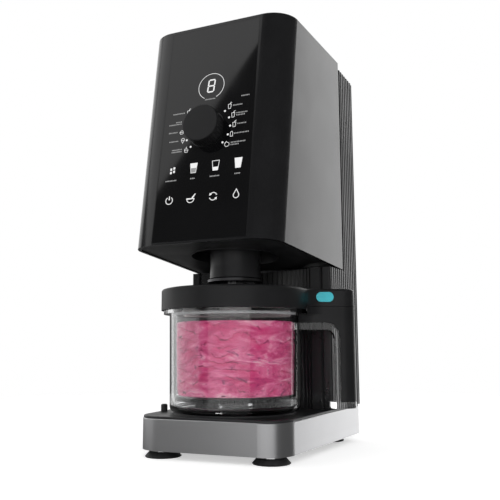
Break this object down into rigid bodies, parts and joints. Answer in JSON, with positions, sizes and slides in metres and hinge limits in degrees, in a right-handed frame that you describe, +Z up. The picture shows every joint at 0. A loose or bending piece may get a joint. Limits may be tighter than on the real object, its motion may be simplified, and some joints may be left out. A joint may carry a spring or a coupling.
{
  "type": "ice cream maker",
  "caption": "Countertop frozen dessert maker with a leaning control panel, ribbed rear column, clear handled bowl, and a plunging, spinning paddle.",
  "frame": {"origin": "middle of the footprint, on the floor under the feet", "axes": "+Z up, +Y from the control panel towards the rear column, +X to the right seen from the front"},
  "size_m": [0.1924, 0.2264, 0.4128],
  "materials": {
    "band_steel": "fine horizontal satin",
    "housing_black": "satin gloss",
    "panel_gloss": "mirror gloss",
    "column_black": "ribbed satin",
    "deck_black": "fine matte",
    "lid_black": "soft satin",
    "rubber_black": "matte",
    "bright_steel": "polished",
    "clear_plastic": "clear, polished",
    "tub_plastic": "clear, lightly frosted",
    "berry_ice": "soft churned",
    "button_teal": "satin gloss",
    "aluminium_plate": "machined",
    "dark_metal": "satin",
    "copper": "enamelled wire",
    "brass_nut": "turned",
    "circuit_green": "solder mask",
    "gear_nylon": "moulded",
    "seal_grey": "silicone",
    "paddle_white": "moulded"
  },
  "bodies": {
    "machine": {"base_band": "band_steel", "base_deck": "deck_black", "base_bottom_plate": "deck_black", "foot_front_left": "rubber_black", "foot_front_right": "rubber_black", "foot_rear_left": "rubber_black", "foot_rear_right": "rubber_black", "foot_studs": "bright_steel", "bowl_seat": "deck_black", "stop_peg": "deck_black", "base_screws": "bright_steel", "column_shell": "column_black", "back_cover": "column_black", "back_cover_screws": "bright_steel", "cord_gland": "rubber_black", "column_frame": "dark_metal", "power_board": "circuit_green", "head_shell": "housing_black", "head_top_cover": "housing_black", "head_bottom_cover": "deck_black", "front_panel": "panel_gloss", "display_module": "panel_gloss", "control_board": "circuit_green", "dial_encoder": "dark_metal", "dial_ring": "dark_metal", "drive_collar": "deck_black", "collar_ring": "dark_metal", "gearbox_lower_plate": "aluminium_plate", "gearbox_upper_plate": "aluminium_plate", "gearbox_spacers": "aluminium_plate", "gear_bearings": "bright_steel", "motor_can": "dark_metal", "motor_winding": "copper", "guide_rod": "bright_steel", "frame_posts": "aluminium_plate", "top_bracket": "aluminium_plate", "feed_motor": "dark_metal"},
    "dial": {"dial_knob": "lid_black", "dial_shaft": "bright_steel"},
    "bowl": {"outer_bowl": "clear_plastic", "handle_cover": "lid_black", "lid": "lid_black", "lid_seal": "seal_grey", "inner_tub": "tub_plastic", "ice_cream": "berry_ice"},
    "button": {"release_button": "button_teal", "button_spring": "bright_steel"},
    "latch": {"latch_hook": "lid_black"},
    "carriage": {"carriage": "aluminium_plate", "lead_nut": "brass_nut", "spindle_bearing": "bright_steel"},
    "spindle": {"spindle_shaft": "bright_steel", "paddle": "paddle_white"},
    "gear": {"output_gear": "gear_nylon"},
    "motor": {"motor_rotor": "bright_steel", "drive_pinion": "dark_metal", "cooling_fan": "gear_nylon"},
    "screw": {"lead_screw": "bright_steel"}
  },
  "joints": [
    {"name": "dial_turn", "type": "hinge", "parent": "machine", "child": "dial", "pos_m": [-0.01159, -0.09567, 0.3004], "axis": [0, -0.9873, 0.1588], "continuous": true},
    {"name": "bowl_turn", "type": "hinge", "parent": "machine", "child": "bowl", "pos_m": [-0.01159, -0.0334, 0.04], "axis": [0, 0, 1], "range_deg": [-113, 0]},
    {"name": "button_press", "type": "slide", "parent": "bowl", "child": "button", "axis": [-0.3907, 0.9205, 0], "range_m": [0, 0.0025], "stiffness_N_per_m": 600, "springref_m": -0.002},
    {"name": "latch_swing", "type": "hinge", "parent": "bowl", "child": "latch", "pos_m": [0.06666, 0.00362, 0.149], "axis": [0.9205, 0.3907, 0], "range_deg": [0, 10]},
    {"name": "spindle_plunge", "type": "slide", "parent": "machine", "child": "carriage", "axis": [0, 0, 1], "range_m": [-0.07, 0], "deforming": ["ice_cream"]},
    {"name": "gear_spin", "type": "hinge", "parent": "machine", "child": "gear", "pos_m": [-0.01159, -0.0334, 0.21], "axis": [0, 0, 1], "continuous": true},
    {"name": "spindle_spin", "type": "hinge", "parent": "carriage", "child": "spindle", "pos_m": [-0.01159, -0.0334, 0.24], "axis": [0, 0, 1], "continuous": true},
    {"name": "motor_spin", "type": "hinge", "parent": "machine", "child": "motor", "pos_m": [-0.01159, 0.0236, 0.24], "axis": [0, 0, 1], "continuous": true},
    {"name": "screw_turn", "type": "hinge", "parent": "machine", "child": "screw", "pos_m": [-0.04959, -0.0334, 0.24], "axis": [0, 0, 1], "range_deg": [-3160, 10]}
  ],
  "couplings": [
    {"joint": "latch_swing", "follows": "button_press", "rad_per_m": 69.8},
    {"joint": "spindle_spin", "follows": "gear_spin", "ratio": 1},
    {"joint": "motor_spin", "follows": "gear_spin", "ratio": -4.4286},
    {"joint": "screw_turn", "follows": "spindle_plunge", "rad_per_m": 785.4}
  ]
}
